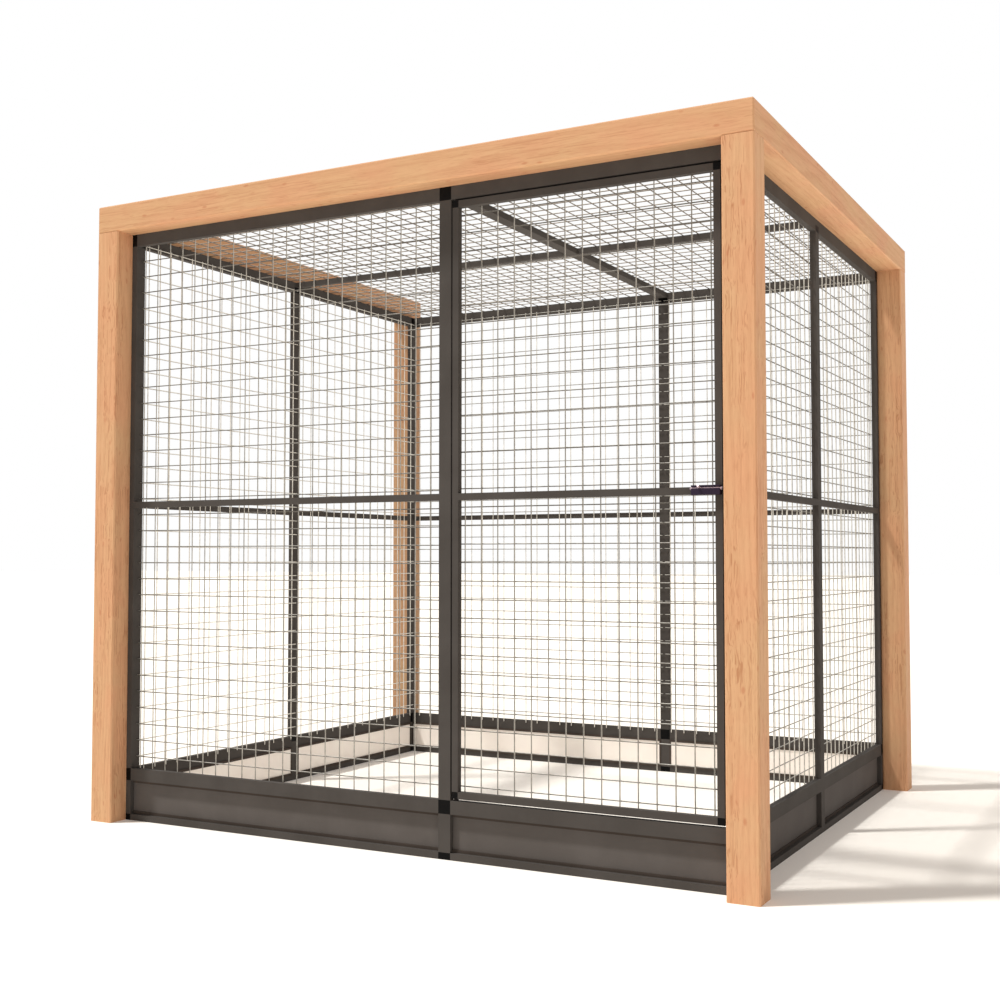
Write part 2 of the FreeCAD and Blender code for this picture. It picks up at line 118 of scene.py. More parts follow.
class Wire:
    """A shader socket that takes part in Python arithmetic."""

    def __init__(self, sheet: "Sheet", socket: bpy.types.NodeSocket) -> None:
        """Keeps the socket and the sheet of nodes that it is on."""
        self.sheet = sheet
        self.socket = socket

    def _math(self, operation: str, *values: Any, clamp: bool = False) -> "Wire":
        """Adds one Math node.

        Args:
            operation: Blender's name of the operation.
            values: Numbers or wires, in socket order.
            clamp: Whether the result is held between 0 and 1.

        Returns:
            The result as a wire.
        """
        inputs = dict(enumerate(values))
        return self.sheet.node("ShaderNodeMath", {"operation": operation, "use_clamp": clamp}, inputs)

    def __add__(self, other: Any) -> "Wire":
        """Sum."""
        return self._math("ADD", self, other)

    __radd__ = __add__

    def __sub__(self, other: Any) -> "Wire":
        """Difference."""
        return self._math("SUBTRACT", self, other)

    def __rsub__(self, other: Any) -> "Wire":
        """Difference with this wire on the right."""
        return self._math("SUBTRACT", other, self)

    def __mul__(self, other: Any) -> "Wire":
        """Product."""
        return self._math("MULTIPLY", self, other)

    __rmul__ = __mul__

    def __truediv__(self, other: Any) -> "Wire":
        """Quotient."""
        return self._math("DIVIDE", self, other)

    def __rtruediv__(self, other: Any) -> "Wire":
        """Quotient with this wire below the line."""
        return self._math("DIVIDE", other, self)

    def __gt__(self, other: Any) -> "Wire":
        """1 where this wire is the larger, else 0."""
        return self._math("GREATER_THAN", self, other)

    def __lt__(self, other: Any) -> "Wire":
        """1 where this wire is the smaller, else 0."""
        return self._math("LESS_THAN", self, other)

    def larger(self, other: Any) -> "Wire":
        """The larger of two values."""
        return self._math("MAXIMUM", self, other)

    def fraction(self) -> "Wire":
        """Part of the value after the point."""
        return self._math("FRACT", self)

    def clamped(self) -> "Wire":
        """Value held between 0 and 1."""
        return self._math("ADD", self, 0.0, clamp=True)

    def ramp(self, low: float, high: float) -> "Wire":
        """Smooth step of the value.

        Args:
            low: Value that gives 0.
            high: Value that gives 1.

        Returns:
            A wire from 0 to 1.
        """
        settings = {"interpolation_type": "SMOOTHSTEP"}
        inputs = {"Value": self, "From Min": low, "From Max": high}
        return self.sheet.node("ShaderNodeMapRange", settings, inputs)


@dataclass(frozen=True)
class Relief:
    """Bump on a finish: its strength, and the depth in metres that a height of 1 stands for."""

    strength: float
    depth: float


class Sheet:
    """A tree of shader nodes, with short ways to add to it."""

    def __init__(self, tree: bpy.types.NodeTree) -> None:
        """Starts on an emptied tree."""
        self.tree = tree
        self.tree.nodes.clear()

    def put(self, socket: bpy.types.NodeSocket, value: Any) -> None:
        """Links a wire to a socket, or sets a plain value on it.

        Args:
            socket: Socket to link or set.
            value: Wire, number, vector or colour.
        """
        if isinstance(value, Wire):
            self.tree.links.new(value.socket, socket)
        elif isinstance(value, tuple) and len(value) == 3 and socket.type == "RGBA":
            socket.default_value = (*value, 1.0)
        else:
            socket.default_value = value

    def node(self, kind: str, settings: Optional[Dict[str, Any]] = None,
             inputs: Optional[Dict[Any, Any]] = None, output: Union[int, str] = 0) -> Wire:
        """Adds any node.

        Args:
            kind: Blender's type of the node.
            settings: Properties, set before the sockets.
            inputs: Values or wires by socket name or number.
            output: Name or number of the output wanted.

        Returns:
            That output as a wire.
        """
        made = self.tree.nodes.new(kind)
        for key, value in (settings or {}).items():
            setattr(made, key, value)
        for key, value in (inputs or {}).items():
            self.put(made.inputs[key], value)
        return Wire(self, made.outputs[output])

    def beside(self, made: Wire, *outputs: Union[int, str]) -> Tuple[Wire, ...]:
        """Outputs of the node that a wire comes from, by name or number."""
        sockets = made.socket.node.outputs
        return tuple(Wire(self, sockets[key]) for key in outputs)

    def end(self, kind: str, surface: Wire) -> None:
        """Adds an output node and links the surface to it."""
        self.put(self.tree.nodes.new(kind).inputs["Surface"], surface)

    def place(self) -> Wire:
        """Object coordinates, in metres in the shared frame."""
        return self.node("ShaderNodeTexCoord", output="Object")

    def stretched(self, scale: Direction) -> Wire:
        """Object coordinates scaled along each axis."""
        inputs = {"Vector": self.place(), "Scale": scale}
        return self.node("ShaderNodeMapping", {"vector_type": "POINT"}, inputs)

    def noise(self, at: Wire, scale: float, detail: float) -> Wire:
        """Fractal noise from 0 to 1.

        Args:
            at: Coordinates.
            scale: Cycles to the metre of those coordinates.
            detail: Octaves.

        Returns:
            The noise value.
        """
        inputs = {"Vector": at, "Scale": scale, "Detail": detail, "Roughness": OCTAVE_SHARE}
        return self.node("ShaderNodeTexNoise", {"noise_dimensions": "3D"}, inputs)

    def split(self, at: Wire) -> Tuple[Wire, ...]:
        """The three parts of a vector."""
        return self.beside(self.node("ShaderNodeSeparateXYZ", None, {0: at}), 0, 1, 2)

    def join(self, x: Any, y: Any, z: Any) -> Wire:
        """A vector made of three values."""
        return self.node("ShaderNodeCombineXYZ", None, {0: x, 1: y, 2: z})

    def dot(self, first: Any, second: Any) -> Wire:
        """Dot product of two vectors."""
        inputs = {0: first, 1: second}
        return self.node("ShaderNodeVectorMath", {"operation": "DOT_PRODUCT"}, inputs, "Value")

    def blend(self, factor: Any, first: Any, second: Any) -> Wire:
        """Mix of two colours.

        Args:
            factor: 0 gives the first colour and 1 the second.
            first: Colour or wire.
            second: Colour or wire.

        Returns:
            The mixed colour.
        """
        inputs = {0: factor, MIX_FIRST: first, MIX_SECOND: second}
        return self.node("ShaderNodeMix", {"data_type": "RGBA"}, inputs, MIX_RESULT)

    def bump(self, height: Wire, relief: Relief) -> Wire:
        """Normal bent by a height from 0 to 1."""
        inputs = {"Height": height, "Strength": relief.strength, "Distance": relief.depth}
        return self.node("ShaderNodeBump", None, inputs)


class Surface(Sheet):
    """The nodes of one material, which end in a surface shader."""

    def __init__(self, name: str) -> None:
        """Starts a material that holds only a surface shader and its output.

        Args:
            name: Name of the material.
        """
        self.material = bpy.data.materials.new(name)
        self.material.use_nodes = True
        super().__init__(self.material.node_tree)
        shader = self.node("ShaderNodeBsdfPrincipled", output="BSDF")
        self.shader = shader.socket.node
        self.end("ShaderNodeOutputMaterial", shader)

    def finish(self, **sockets: Any) -> bpy.types.Material:
        """Sets the surface shader's sockets.

        Args:
            sockets: Values or wires by socket name, with _ for a space.

        Returns:
            The material.
        """
        for key, value in sockets.items():
            self.put(self.shader.inputs[key.replace("_", " ")], value)
        return self.material


@dataclass(frozen=True)
class Mottle:
    """Even noise on a finish.

    Its fields are its cycles to the metre, its octaves, and the noise values at which its marks
    start and are full.
    """

    scale: float
    detail: float
    starts: float = 0.0
    full: float = 1.0

    def noise(self, sheet: Sheet, at: Wire) -> Wire:
        """The noise itself, from 0 to 1."""
        return sheet.noise(at, self.scale, self.detail)

    def marks(self, noise: Wire) -> Wire:
        """Marks picked out of the noise, from 0 to 1."""
        return noise.ramp(self.starts, self.full)


@dataclass(frozen=True)
class Figure:
    """One layer of a timber's figure, which is noise stretched along the grain.

    Its fields are its cycles to the metre across and along the grain, its octaves, the values at
    which its marks start and are full, the value that changes nothing, and its share of the colour.
    """

    wide: float
    long: float
    detail: float = 3.0
    starts: float = 0.0
    full: float = 1.0
    level: float = 0.0
    share: float = 1.0

    def marks(self, noise: Wire) -> Wire:
        """Marks picked out of the noise, from 0 to 1."""
        return noise.ramp(self.starts, self.full)

    def weighed(self, value: Wire) -> Wire:
        """What a value of this layer adds to the colour."""
        return (value - self.level) * self.share


@dataclass(frozen=True)
class Board:
    """Coordinates on a piece of timber: two across the grain, one along it, and a shift of its own."""

    sheet: Sheet
    across: Tuple[Wire, ...]
    along: Wire
    shift: float

    def at(self, figure: Figure) -> Wire:
        """Coordinates stretched for one layer of figure."""
        wide = [part * figure.wide for part in self.across]
        return self.sheet.join(*wide, self.along * figure.long + self.shift)

    def noise(self, figure: Figure) -> Wire:
        """Noise of one layer, from 0 to 1."""
        return self.sheet.noise(self.at(figure), 1.0, figure.detail)

    def marks(self, figure: Figure) -> Wire:
        """Marks of one layer, from 0 to 1."""
        return figure.marks(self.noise(figure))


@dataclass(frozen=True)
class TimberFinish:
    """Planed softwood: long wavy lines and short streaks over faint rings, with pin knots."""

    pale: Colour = srgb(208, 166, 126)
    late: Colour = srgb(168, 112, 76)
    warm: Colour = srgb(210, 158, 120)
    knot: Colour = srgb(176, 104, 70)
    ring: float = 0.017
    ring_rise: Span = (0.25, 0.86)
    ring_drop: Span = (0.90, 1.0)
    ring_share: float = 0.12
    pith: Span = (0.86, 0.5)
    bend: float = 0.108
    wander: float = 0.012
    sway: float = 0.05
    lines: float = 0.55
    roughness: float = 0.6
    fibre_swing: float = 0.12
    late_swing: float = 0.05
    gloss: float = 0.16
    raised_fibre: float = 0.6
    sunk_pore: float = 0.5
    sunk_late: float = 0.25
    relief: Relief = Relief(0.3, 0.0005)
    bends: Figure = Figure(5.0, 0.8, detail=2.0)
    waves: Figure = Figure(14.0, 2.2)
    patches: Figure = Figure(9.0, 5.0, starts=0.30, full=0.72)
    long_lines: Figure = Figure(290.0, 4.0, detail=1.0, starts=0.53, full=0.65)
    zones: Figure = Figure(16.0, 2.6, detail=1.0, starts=0.34, full=0.60)
    streaks: Figure = Figure(110.0, 9.0, level=0.42, share=0.4)
    dashes: Figure = Figure(230.0, 26.0, detail=1.0, starts=0.54, full=0.72, share=0.12)
    fibres: Figure = Figure(480.0, 24.0, level=0.45, share=0.35)
    pores: Figure = Figure(900.0, 60.0, detail=1.0, starts=0.58, full=0.74, share=0.12)
    knots: Figure = Figure(26.0, 11.0, starts=0.05, full=0.15, share=0.45)

    def rings(self, board: Board) -> Wire:
        """Share of late wood in the rings.

        The rings lie round a pith far to one side, so the distance to it is a straight sum across the
        grain. Slow noise bends them and quicker noise makes them wander, so that faint arches show.

        Args:
            board: Coordinates on the piece.

        Returns:
            A wire from 0 to 1.
        """
        first, second = board.across
        bend = board.noise(self.bends) - NOISE_MEAN
        wander = board.noise(self.waves) - NOISE_MEAN
        radius = first * self.pith[0] + second * self.pith[1] + bend * self.bend + wander * self.wander
        phase = (radius / self.ring).fraction()
        return phase.ramp(*self.ring_rise) * (1.0 - phase.ramp(*self.ring_drop))

    def material(self, name: str, grain: Axis, seed: float) -> bpy.types.Material:
        """Makes the timber of one piece.

        The figure is noise stretched along the piece at several widths, over the rings. Slow noise
        sways the long lines, which gather in zones. Pin knots are the cores of stretched cells.

        Args:
            name: Name of the material.
            grain: Direction of the grain.
            seed: Shift that makes this piece's figure its own.

        Returns:
            The material.
        """
        sheet = Surface(name)
        parts = sheet.split(sheet.place())
        across = tuple(part for k, part in enumerate(parts) if k != grain.value)
        board = Board(sheet, across, parts[grain.value], seed)
        late = self.rings(board)
        drift = board.noise(self.patches)
        sway = (drift - NOISE_MEAN) * self.sway
        bent = replace(board, across=tuple(part + sway for part in across))
        line = bent.marks(self.long_lines)
        zone = replace(bent, shift=-seed).marks(self.zones)
        streak = board.noise(self.streaks)
        dash = board.marks(self.dashes)
        fibre = board.noise(self.fibres)
        pore = board.marks(self.pores)
        fine = (self.streaks.weighed(streak) + self.dashes.weighed(dash)
                + self.fibres.weighed(fibre) + self.pores.weighed(pore))
        figure = late * self.ring_share + line * zone * self.lines + fine
        cells = {"Vector": bent.at(self.knots), "Scale": 1.0}
        core = sheet.node("ShaderNodeTexVoronoi", {"feature": "F1"}, cells)
        knot = 1.0 - self.knots.marks(core)
        body = sheet.blend(self.patches.marks(drift), self.pale, self.warm)
        grain_colour = sheet.blend(figure.clamped(), body, self.late)
        height = fibre * self.raised_fibre - pore * self.sunk_pore - late * self.sunk_late
        return sheet.finish(
            Base_Color=sheet.blend(self.knots.weighed(knot), grain_colour, self.knot),
            Roughness=self.roughness + (fibre - NOISE_MEAN) * self.fibre_swing + late * self.late_swing,
            Normal=sheet.bump(height, self.relief),
            Specular_IOR_Level=self.gloss,
        )


@dataclass(frozen=True)
class PowderCoat:
    """Satin powder coat on drawn tube or sheet: fine texture, drift of tone and rubbed patches."""

    tone: Colour = srgb(79, 75, 72)
    drift: Colour = srgb(73, 69, 66)
    roughness: float = 0.56
    gloss: float = 0.01
    cloud: Mottle = Mottle(7.0, 4.0, 0.32, 0.70)
    speck: Mottle = Mottle(1400.0, 2.0)
    rub: Mottle = Mottle(46.0, 3.0, 0.58, 0.80)
    speck_swing: float = 0.16
    rub_swing: float = 0.05
    relief: Relief = Relief(0.16, 0.0003)

    def nodes(self, sheet: Sheet) -> Tuple[Wire, Wire, Wire]:
        """Lays the coat out on a sheet.

        Args:
            sheet: Sheet of nodes to add to.

        Returns:
            Colour, roughness and normal.
        """
        at = sheet.place()
        cloud = self.cloud.marks(self.cloud.noise(sheet, at))
        speck = self.speck.noise(sheet, at)
        rub = self.rub.marks(self.rub.noise(sheet, at))
        colour = sheet.blend(cloud, self.tone, self.drift)
        rough = self.roughness + (speck - NOISE_MEAN) * self.speck_swing + rub * self.rub_swing
        return colour, rough, sheet.bump(speck, self.relief)

    def material(self, name: str) -> bpy.types.Material:
        """Makes the coat as a material of its own.

        Args:
            name: Name of the material.

        Returns:
            The material.
        """
        sheet = Surface(name)
        colour, rough, normal = self.nodes(sheet)
        return sheet.finish(
            Base_Color=colour,
            Roughness=rough,
            Normal=normal,
            Specular_IOR_Level=self.gloss,
        )


EDGING_COAT = PowderCoat(tone=srgb(76, 68, 63), drift=srgb(68, 61, 56), roughness=0.6)


@dataclass(frozen=True)
class PanelFinish:
    """Kick panel: powder coat outside and a cream film inside."""

    outside: PowderCoat = PowderCoat(tone=srgb(95, 90, 87), drift=srgb(89, 84, 81), roughness=0.5)
    film: Colour = srgb(250, 243, 235)
    film_drift: Colour = srgb(245, 236, 228)
    cloud: Mottle = Mottle(5.0, 3.0, 0.35, 0.7)
    film_swing: float = 0.12

    def material(self, name: str, side: Side, middle: float) -> bpy.types.Material:
        """Makes the panels of one wall.

        Args:
            name: Name of the material.
            side: Wall that the panels stand in.
            middle: Where the middle of their thickness is, along the wall's axis.

        Returns:
            The material.
        """
        axis, sign = side.value
        sheet = Surface(name)
        coat, rough, normal = self.outside.nodes(sheet)
        at = sheet.place()
        inside = (middle - sheet.split(at)[axis]) * sign > 0.0
        cloud = self.cloud.marks(self.cloud.noise(sheet, at))
        film = sheet.blend(cloud, self.film, self.film_drift)
        return sheet.finish(
            Base_Color=sheet.blend(inside, coat, film),
            Roughness=rough + inside * self.film_swing,
            Normal=normal,
            Specular_IOR_Level=self.outside.gloss,
        )


@dataclass(frozen=True)
class MouldedPlastic:
    """Black moulded connector: fine spark texture and slightly polished patches."""

    tone: Colour = srgb(8, 7, 7)
    worn: Colour = srgb(15, 14, 13)
    roughness: float = 0.55
    gloss: float = 0.08
    spark: Mottle = Mottle(1700.0, 2.0)
    cloud: Mottle = Mottle(38.0, 3.0, 0.40, 0.75)
    cloud_swing: float = 0.2
    relief: Relief = Relief(0.22, 0.0002)

    def material(self, name: str) -> bpy.types.Material:
        """Makes the plastic.

        Args:
            name: Name of the material.

        Returns:
            The material.
        """
        sheet = Surface(name)
        at = sheet.place()
        spark = self.spark.noise(sheet, at)
        cloud = self.cloud.noise(sheet, at)
        return sheet.finish(
            Base_Color=sheet.blend(self.cloud.marks(cloud), self.tone, self.worn),
            Roughness=self.roughness + (cloud - NOISE_MEAN) * self.cloud_swing,
            Normal=sheet.bump(spark, self.relief),
            Specular_IOR_Level=self.gloss,
        )


@dataclass(frozen=True)
class Galvanised:
    """Galvanised wire: pale zinc, darker on the side that faces out of the run, with painted shade on
    its undersides.
    """

    bright: Colour = srgb(231, 227, 217)
    # Colour of the side facing out of the run, and of the painted shade on the undersides
    dark_zinc_and_shade: Colour = srgb(76, 71, 64)
    blotch: Colour = srgb(202, 197, 188)
    metallic: float = 0.2
    roughness: float = 0.46
    # Weight of the painted shade on faces that look down
    under: float = 2.0
    cross: float = 0.0
    dark_and_shade_span: Span = (-0.2, 1.35)
    cloud: Mottle = Mottle(90.0, 3.0, 0.45, 0.75)
    cloud_dark_and_shade: float = 0.3
    cloud_swing: float = 0.25
    drawn: Mottle = Mottle(900.0, 2.0)
    drawn_swing: float = 0.1
    relief: Relief = Relief(0.2, 0.0002)

    def material(self, name: str, outward: Direction, plane: float) -> bpy.types.Material:
        """Makes the zinc of one panel.

        The dark share is a smooth step of how far the surface faces out of the run, plus a share of
        how far it faces down, which is painted shade, so that a wire is brightest on the inside of the
        run. The inner layer, the cross wires, has a further share of its own.

        Args:
            name: Name of the material.
            outward: Direction out of the run.
            plane: How far out the plane between the two layers is.

        Returns:
            The material.
        """
        sheet = Surface(name)
        at = sheet.place()
        normal = sheet.node("ShaderNodeTexCoord", output="Normal")
        inner = (plane - sheet.dot(at, outward)) > 0.0
        # Painted shade: faces that look down take a share of the dark colour
        down = (0.0 - sheet.split(normal)[2]).clamped()
        facing = sheet.dot(normal, outward) + down * self.under + inner * self.cross
        cloud = self.cloud.noise(sheet, at)
        cloud_swing = cloud - NOISE_MEAN
        drawn = self.drawn.noise(sheet, at)
        drawn_swing = drawn - NOISE_MEAN
        clean = sheet.blend(self.cloud.marks(cloud), self.bright, self.blotch)
        dark_and_shade_share = (facing + cloud_swing * self.cloud_dark_and_shade).ramp(*self.dark_and_shade_span)
        return sheet.finish(
            Base_Color=sheet.blend(dark_and_shade_share, clean, self.dark_zinc_and_shade),
            Metallic=self.metallic,
            Roughness=self.roughness + cloud_swing * self.cloud_swing + drawn_swing * self.drawn_swing,
            Normal=sheet.bump(drawn, self.relief),
        )


@dataclass(frozen=True)
class PlatedSteel:
    """Hazed plated steel with fine drawn lines along the bolt; its two ends are painted dark as shade,
    and are rougher and less metallic.
    """

    tone: Colour = srgb(222, 200, 211)
    shade: Colour = srgb(196, 176, 187)
    # Painted shade over the two ends of the bolt
    ends: Colour = srgb(80, 69, 76)
    roughness: float = 0.45
    metallic: float = 0.35
    gloss: float = 0.2
    bright_share: float = 0.82
    drawn: Direction = (20.0, 1600.0, 1600.0)
    drawn_detail: float = 2.0
    drawn_swing: float = 0.14
    haze: Mottle = Mottle(120.0, 3.0, 0.35, 0.7)
    haze_swing: float = 0.1
    end_swing: float = 0.35
    relief: Relief = Relief(0.12, 0.0001)

    def material(self, name: str, middle: float, half: float) -> bpy.types.Material:
        """Makes the plating.

        Args:
            name: Name of the material.
            middle: Where the middle of the bolt is, along X.
            half: Half of the bolt's length.

        Returns:
            The material.
        """
        sheet = Surface(name)
        at = sheet.place()
        off = (sheet.split(at)[0] - middle) / half
        # Share of painted shade, full at the two ends of the bolt
        end = (off * off).ramp(self.bright_share ** 2, 1.0)
        lines = sheet.noise(sheet.stretched(self.drawn), 1.0, self.drawn_detail)
        haze = self.haze.noise(sheet, at)
        plating = sheet.blend(self.haze.marks(haze), self.tone, self.shade)
        swing = (lines - NOISE_MEAN) * self.drawn_swing + (haze - NOISE_MEAN) * self.haze_swing
        return sheet.finish(
            Base_Color=sheet.blend(end, plating, self.ends),
            Metallic=(1.0 - end) * self.metallic,
            Roughness=self.roughness + swing + end * self.end_swing,
            Normal=sheet.bump(lines, self.relief),
            Specular_IOR_Level=self.gloss,
        )


def add_mesh(name: str, points: np.ndarray, faces: Sequence[np.ndarray],
             smooth: Sequence[bool]) -> bpy.types.Object:
    """Puts whole arrays of points and faces into a new object.

    Args:
        name: Name of the piece.
        points: Points, one row each.
        faces: Arrays of faces, each with its own count of corners.
        smooth: Whether each array of faces is shaded smooth.

    Returns:
        The new object, at the origin.
    """
    mesh = bpy.data.meshes.new(name)
    corners = np.concatenate([f.ravel() for f in faces]).astype(np.int32)
    totals = np.concatenate([np.full(len(f), f.shape[1], np.int32) for f in faces])
    starts = np.concatenate([[0], np.cumsum(totals)[:-1]]).astype(np.int32)
    mesh.vertices.add(len(points))
    mesh.vertices.foreach_set("co", points.astype(np.float32).ravel())
    mesh.loops.add(len(corners))
    mesh.loops.foreach_set("vertex_index", corners)
    mesh.polygons.add(len(totals))
    mesh.polygons.foreach_set("loop_start", starts)
    mesh.polygons.foreach_set("loop_total", totals)
    soft = np.concatenate([np.full(len(f), on) for f, on in zip(faces, smooth)])
    mesh.polygons.foreach_set("use_smooth", soft)
    mesh.update(calc_edges=True)
    mesh.validate()
    made = bpy.data.objects.new(name, mesh)
    bpy.context.scene.collection.objects.link(made)
    return made


def bars(boxes: np.ndarray, around: int, square: float,
         tip: float) -> Tuple[np.ndarray, List[np.ndarray]]:
    """Round or rounded bars that fill the given boxes from end to end.

    A bar's outline is a superellipse across its box, a cos t and b sin t with the cosine and sine
    raised to a power and their signs kept: a power of 1 gives an ellipse, and less a block with
    rounded corners. It is carried to four stations along the box's long axis: both ends, and a
    tip's length in from each, which keeps the shading even up to the flat end caps.

    Args:
        boxes: Low and high corner of each bar, with shape (bars, 2, 3).
        around: Points round the outline.
        square: Power of the superellipse.
        tip: Distance of the inner stations from the ends.

    Returns:
        Points, and the faces as quads and end caps.
    """
    count = len(boxes)
    middle = boxes.mean(axis=1)
    half = (boxes[:, 1] - boxes[:, 0]) / 2
    long_axis = half.argmax(axis=1)[:, None]
    pick = np.arange(count)[:, None]
    near = np.arange(around)
    turn = (near + 0.5) * (2 * math.pi / around)
    waves = np.stack([np.cos(turn), np.sin(turn)])
    curves = np.sign(waves) * np.abs(waves) ** square
    ring = np.zeros((count, around, 3))
    for step, curve in enumerate(curves, start=1):
        axis = (long_axis + step) % 3
        ring[pick, near[None], axis] = curve[None] * half[pick, axis]
    reach = half[pick, long_axis]
    stations = np.concatenate([-reach, tip - reach, reach - tip, reach], axis=1)
    stops = stations.shape[1]
    along = np.zeros((count, stops, 3))
    along[pick, np.arange(stops)[None], long_axis] = stations
    points = (middle[:, None, None] + along[:, :, None] + ring[:, None]).reshape(-1, 3)
    after = (near + 1) % around
    quad = np.stack([near, after, after + around, near + around], axis=1)
    bands = (np.arange(stops - 1) * around)[:, None, None]
    first = (np.arange(count) * stops * around)[:, None, None]
    quads = ((quad[None] + bands).reshape(1, -1, 4) + first).reshape(-1, 4)
    caps = np.stack([near[::-1], near + (stops - 1) * around])
    return points, [quads, (caps[None] + first).reshape(-1, around)]


def dress(node: str, material: bpy.types.Material) -> None:
    """Gives a CAD node one material.

    Args:
        node: Name of the node.
        material: Material for all of it.
    """
    target = frame["nodes"][node]
    target.data.materials.clear()
    target.data.materials.append(material)


def block_boxes(node: str) -> np.ndarray:
    """Boxes of a CAD node that is a row of plain blocks.

    A block's mesh is loose triangles, so its corners are a fixed count in face order.

    Args:
        node: Name of the node.

    Returns:
        Low and high corner of each block, with shape (blocks, 2, 3).
    """
    mesh = frame["nodes"][node].data
    points = np.empty(len(mesh.vertices) * 3)
    mesh.vertices.foreach_get("co", points)
    corners = np.empty(len(mesh.loops), np.int64)
    mesh.loops.foreach_get("vertex_index", corners)
    blocks = points.reshape(-1, 3)[corners].reshape(-1, BLOCK_CORNERS, 3)
    return np.stack([blocks.min(axis=1), blocks.max(axis=1)], axis=1)


@dataclass
class Timber:
    """Posts and beams, with a darker copy of the post timber as painted shade on the back left post."""

    posts: TimberFinish = TimberFinish()
    # Darker copy of the post timber: painted shade for the post that stands in shade
    shaded_post: TimberFinish = TimberFinish(
        pale=srgb(184, 151, 116), late=srgb(149, 102, 71),
        warm=srgb(185, 143, 110), knot=srgb(156, 95, 66),
    )
    shaded_post_node: str = "post_back_left"
    beams: TimberFinish = TimberFinish(
        pale=srgb(206, 164, 123), warm=srgb(207, 155, 118), lines=0.3, sway=0.02,
    )
    grains: Dict[str, Axis] = field(default_factory=lambda: {
        "post_front_left": Axis.Z, "post_front_right": Axis.Z,
        "post_back_left": Axis.Z, "post_back_right": Axis.Z,
        "beam_front": Axis.X, "beam_left": Axis.Y, "beam_right": Axis.Y,
    })
    seed_step: float = 7.31

    def dress(self) -> None:
        """Gives each piece of timber grain along its own length."""
        for index, (node, grain) in enumerate(self.grains.items()):
            finish = self.posts if grain is Axis.Z else self.beams
            # The back left post gets the painted shade copy
            if node == self.shaded_post_node:
                finish = self.shaded_post
            dress(node, finish.material("timber_" + node, grain, index * self.seed_step))
            LOG.info("timber %s", node)


@dataclass
class Cage:
    """Tubes, connectors, kick panels and channels."""

    coat: PowderCoat = PowderCoat()
    edging: PowderCoat = EDGING_COAT
    plastic: MouldedPlastic = MouldedPlastic()
    panel: PanelFinish = PanelFinish()

    def dress(self) -> None:
        """Gives every tube, connector, panel and channel its finish."""
        finishes = {
            "tube": self.coat.material("tube_coat"),
            "connector": self.plastic.material("connector_plastic"),
            "channel": self.edging.material("channel_coat"),
        }
        for row in frame["record"]["subparts"]:
            if row["material_slot"] in finishes:
                dress(row["node"], finishes[row["material_slot"]])
                LOG.info("%s %s", row["material_slot"], row["node"])
        for side in Side:
            node = "kick_panels_" + side.name.lower()
            low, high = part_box(node)
            axis = side.value[0]
            middle = (low[axis] + high[axis]) / 2
            dress(node, self.panel.material("panel_" + side.name.lower(), side, middle))
            LOG.info("panels %s", node)


@dataclass
class WeldedMesh:
    """Round wire welded in two layers, in place of the square wire of the CAD panels."""

    zinc: Galvanised = Galvanised()
    back_zinc: Galvanised = Galvanised(cross=1.5)
    # A darker copy of the zinc for the roof: painted shade on wires seen from below
    shaded_roof_zinc: Galvanised = Galvanised(
        bright=srgb(164, 154, 141), dark_zinc_and_shade=srgb(90, 80, 69), blotch=srgb(146, 136, 124),
    )
    around: int = 8
    square: float = 1.0
    slim: float = 0.88
    bite: float = 0.06
    tip: float = 0.001
    panels: Dict[str, Tuple[str, Direction]] = field(default_factory=lambda: {
        "mesh_front": ("run", (0.0, -1.0, 0.0)), "mesh_back": ("run", (0.0, 1.0, 0.0)),
        "mesh_left": ("run", (-1.0, 0.0, 0.0)), "mesh_right": ("run", (1.0, 0.0, 0.0)),
        # The roof's direction points down, into the run, so its undersides take painted shade
        "mesh_roof": ("run", (0.0, 0.0, -1.0)), "door_mesh": ("door", (0.0, -1.0, 0.0)),
    })

    def wires(self, boxes: np.ndarray) -> np.ndarray:
        """Boxes of the round wires that stand for a panel's square ones.

        Each wire is slimmed about its own line, and each layer is drawn in to the panel's middle
        plane until the wires bite into each other at the welds.

        Args:
            boxes: Low and high corner of each square wire, with shape (wires, 2, 3).

        Returns:
            Low and high corner of each round wire.
        """
        size = boxes[:, 1] - boxes[:, 0]
        pick = np.arange(len(boxes))
        long_axis = size.argmax(axis=1)
        half = size / 2 * self.slim
        half[pick, long_axis] = size[pick, long_axis] / 2
        low, high = boxes[:, 0].min(axis=0), boxes[:, 1].max(axis=0)
        thin = int((high - low).argmin())
        plane = (high[thin] + low[thin]) / 2
        middle = boxes.mean(axis=1)
        outer = np.sign(middle[:, thin] - plane)
        middle[:, thin] = plane + outer * half[:, thin] * (1.0 - self.bite)
        return np.stack([middle - half, middle + half], axis=1)

    def build(self) -> List[bpy.types.Object]:
        """Makes the round wire of every panel.

        Returns:
            The pieces, each riding on its body.
        """
        made = []
        special = {"mesh_roof": self.shaded_roof_zinc, "mesh_back": self.back_zinc}
        for node, (body, outward) in self.panels.items():
            boxes = self.wires(block_boxes(node))
            points, faces = bars(boxes, self.around, self.square, self.tip)
            piece = add_mesh("wire_" + node, points, faces, (True, False))
            zinc = special.get(node, self.zinc)
            middle = (boxes[:, 0].min(axis=0) + boxes[:, 1].max(axis=0)) / 2
            plane = float(middle @ np.array(outward))
            piece.data.materials.append(zinc.material("zinc_" + node, outward, plane))
            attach(piece, body)
            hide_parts(node)
            made.append(piece)
            LOG.info("mesh %s: %d wires", node, len(boxes))
        return made


